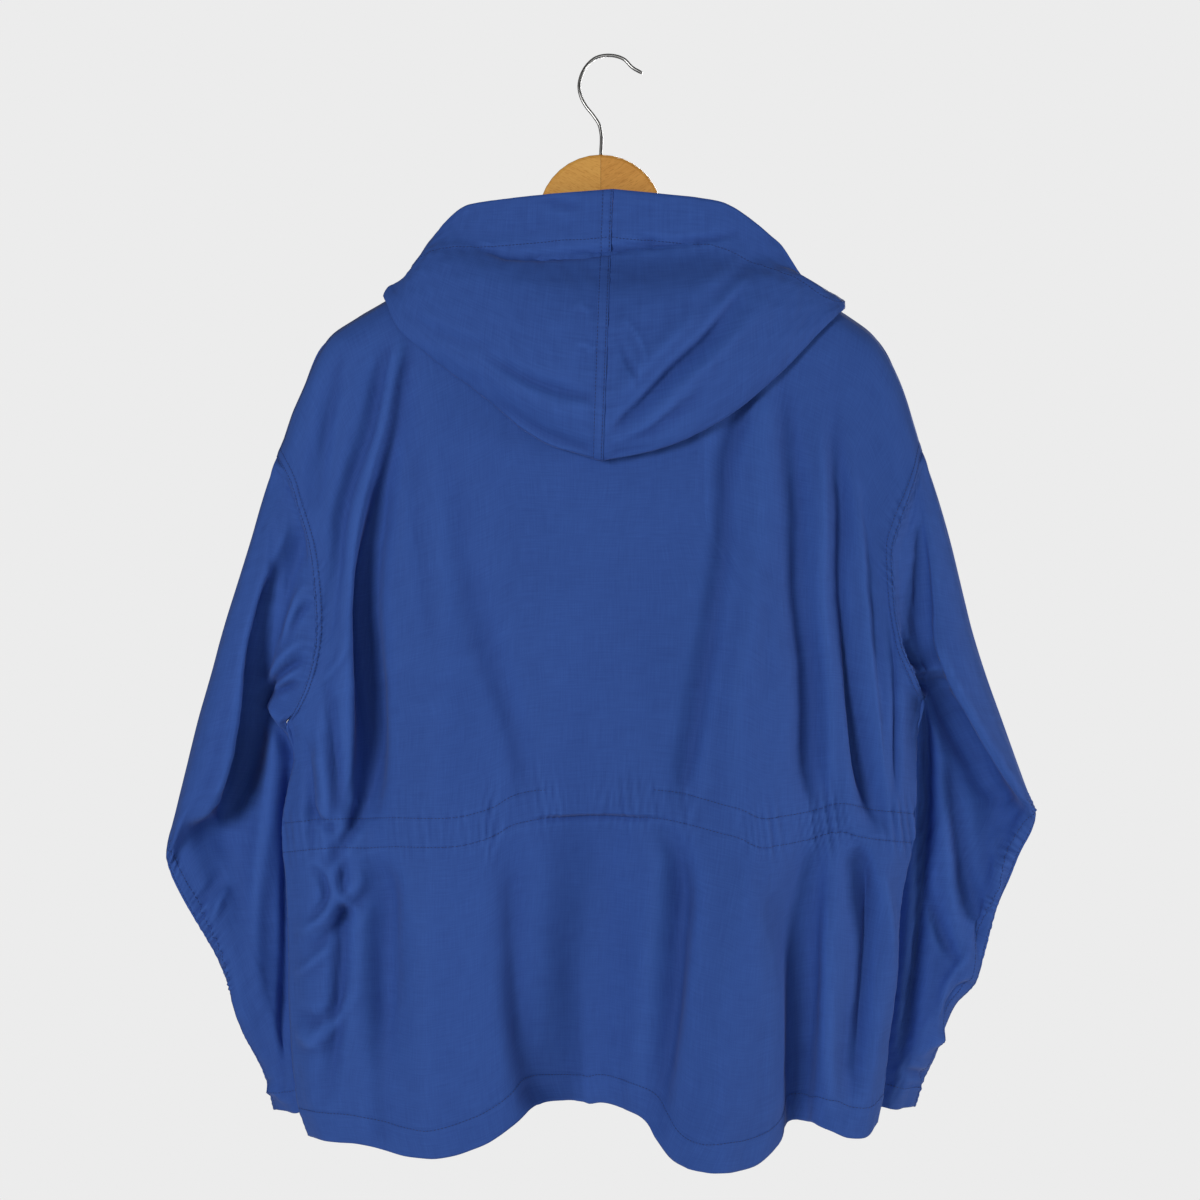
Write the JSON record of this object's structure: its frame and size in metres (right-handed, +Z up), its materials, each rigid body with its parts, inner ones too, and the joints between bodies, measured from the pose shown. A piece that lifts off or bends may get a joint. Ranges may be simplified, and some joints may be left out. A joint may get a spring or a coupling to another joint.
{
  "type": "anorak pullover on a wooden hanger",
  "caption": "Hooded cotton pullover anorak with drop shoulders, felled seams and an inside waist casing, hanging on a flat wooden hanger with a wire hook.",
  "frame": {"origin": "under the crown of the hanger's hook, where a rail carries it", "axes": "+Z up along the length of the garment, +X to the wearer's left, -Y to the garment's front"},
  "size_m": [0.7558, 0.1987, 0.9362],
  "materials": {
    "blue_cotton": "plain woven cotton, matt, washed, in a deep blue",
    "beech": "clear satin lacquer on pale warm beech",
    "steel_wire": "bright drawn steel wire"
  },
  "bodies": {
    "root": {"back_panel": "blue_cotton", "front_panel": "blue_cotton", "waist_casing_back": "blue_cotton", "waist_casing_front": "blue_cotton", "sleeve_left_back": "blue_cotton", "sleeve_left_front": "blue_cotton", "sleeve_right_back": "blue_cotton", "sleeve_right_front": "blue_cotton", "hood_left": "blue_cotton", "hood_right": "blue_cotton", "hanger_arm_left": "beech", "hanger_arm_right": "beech", "hook": "steel_wire"}
  },
  "joints": []
}
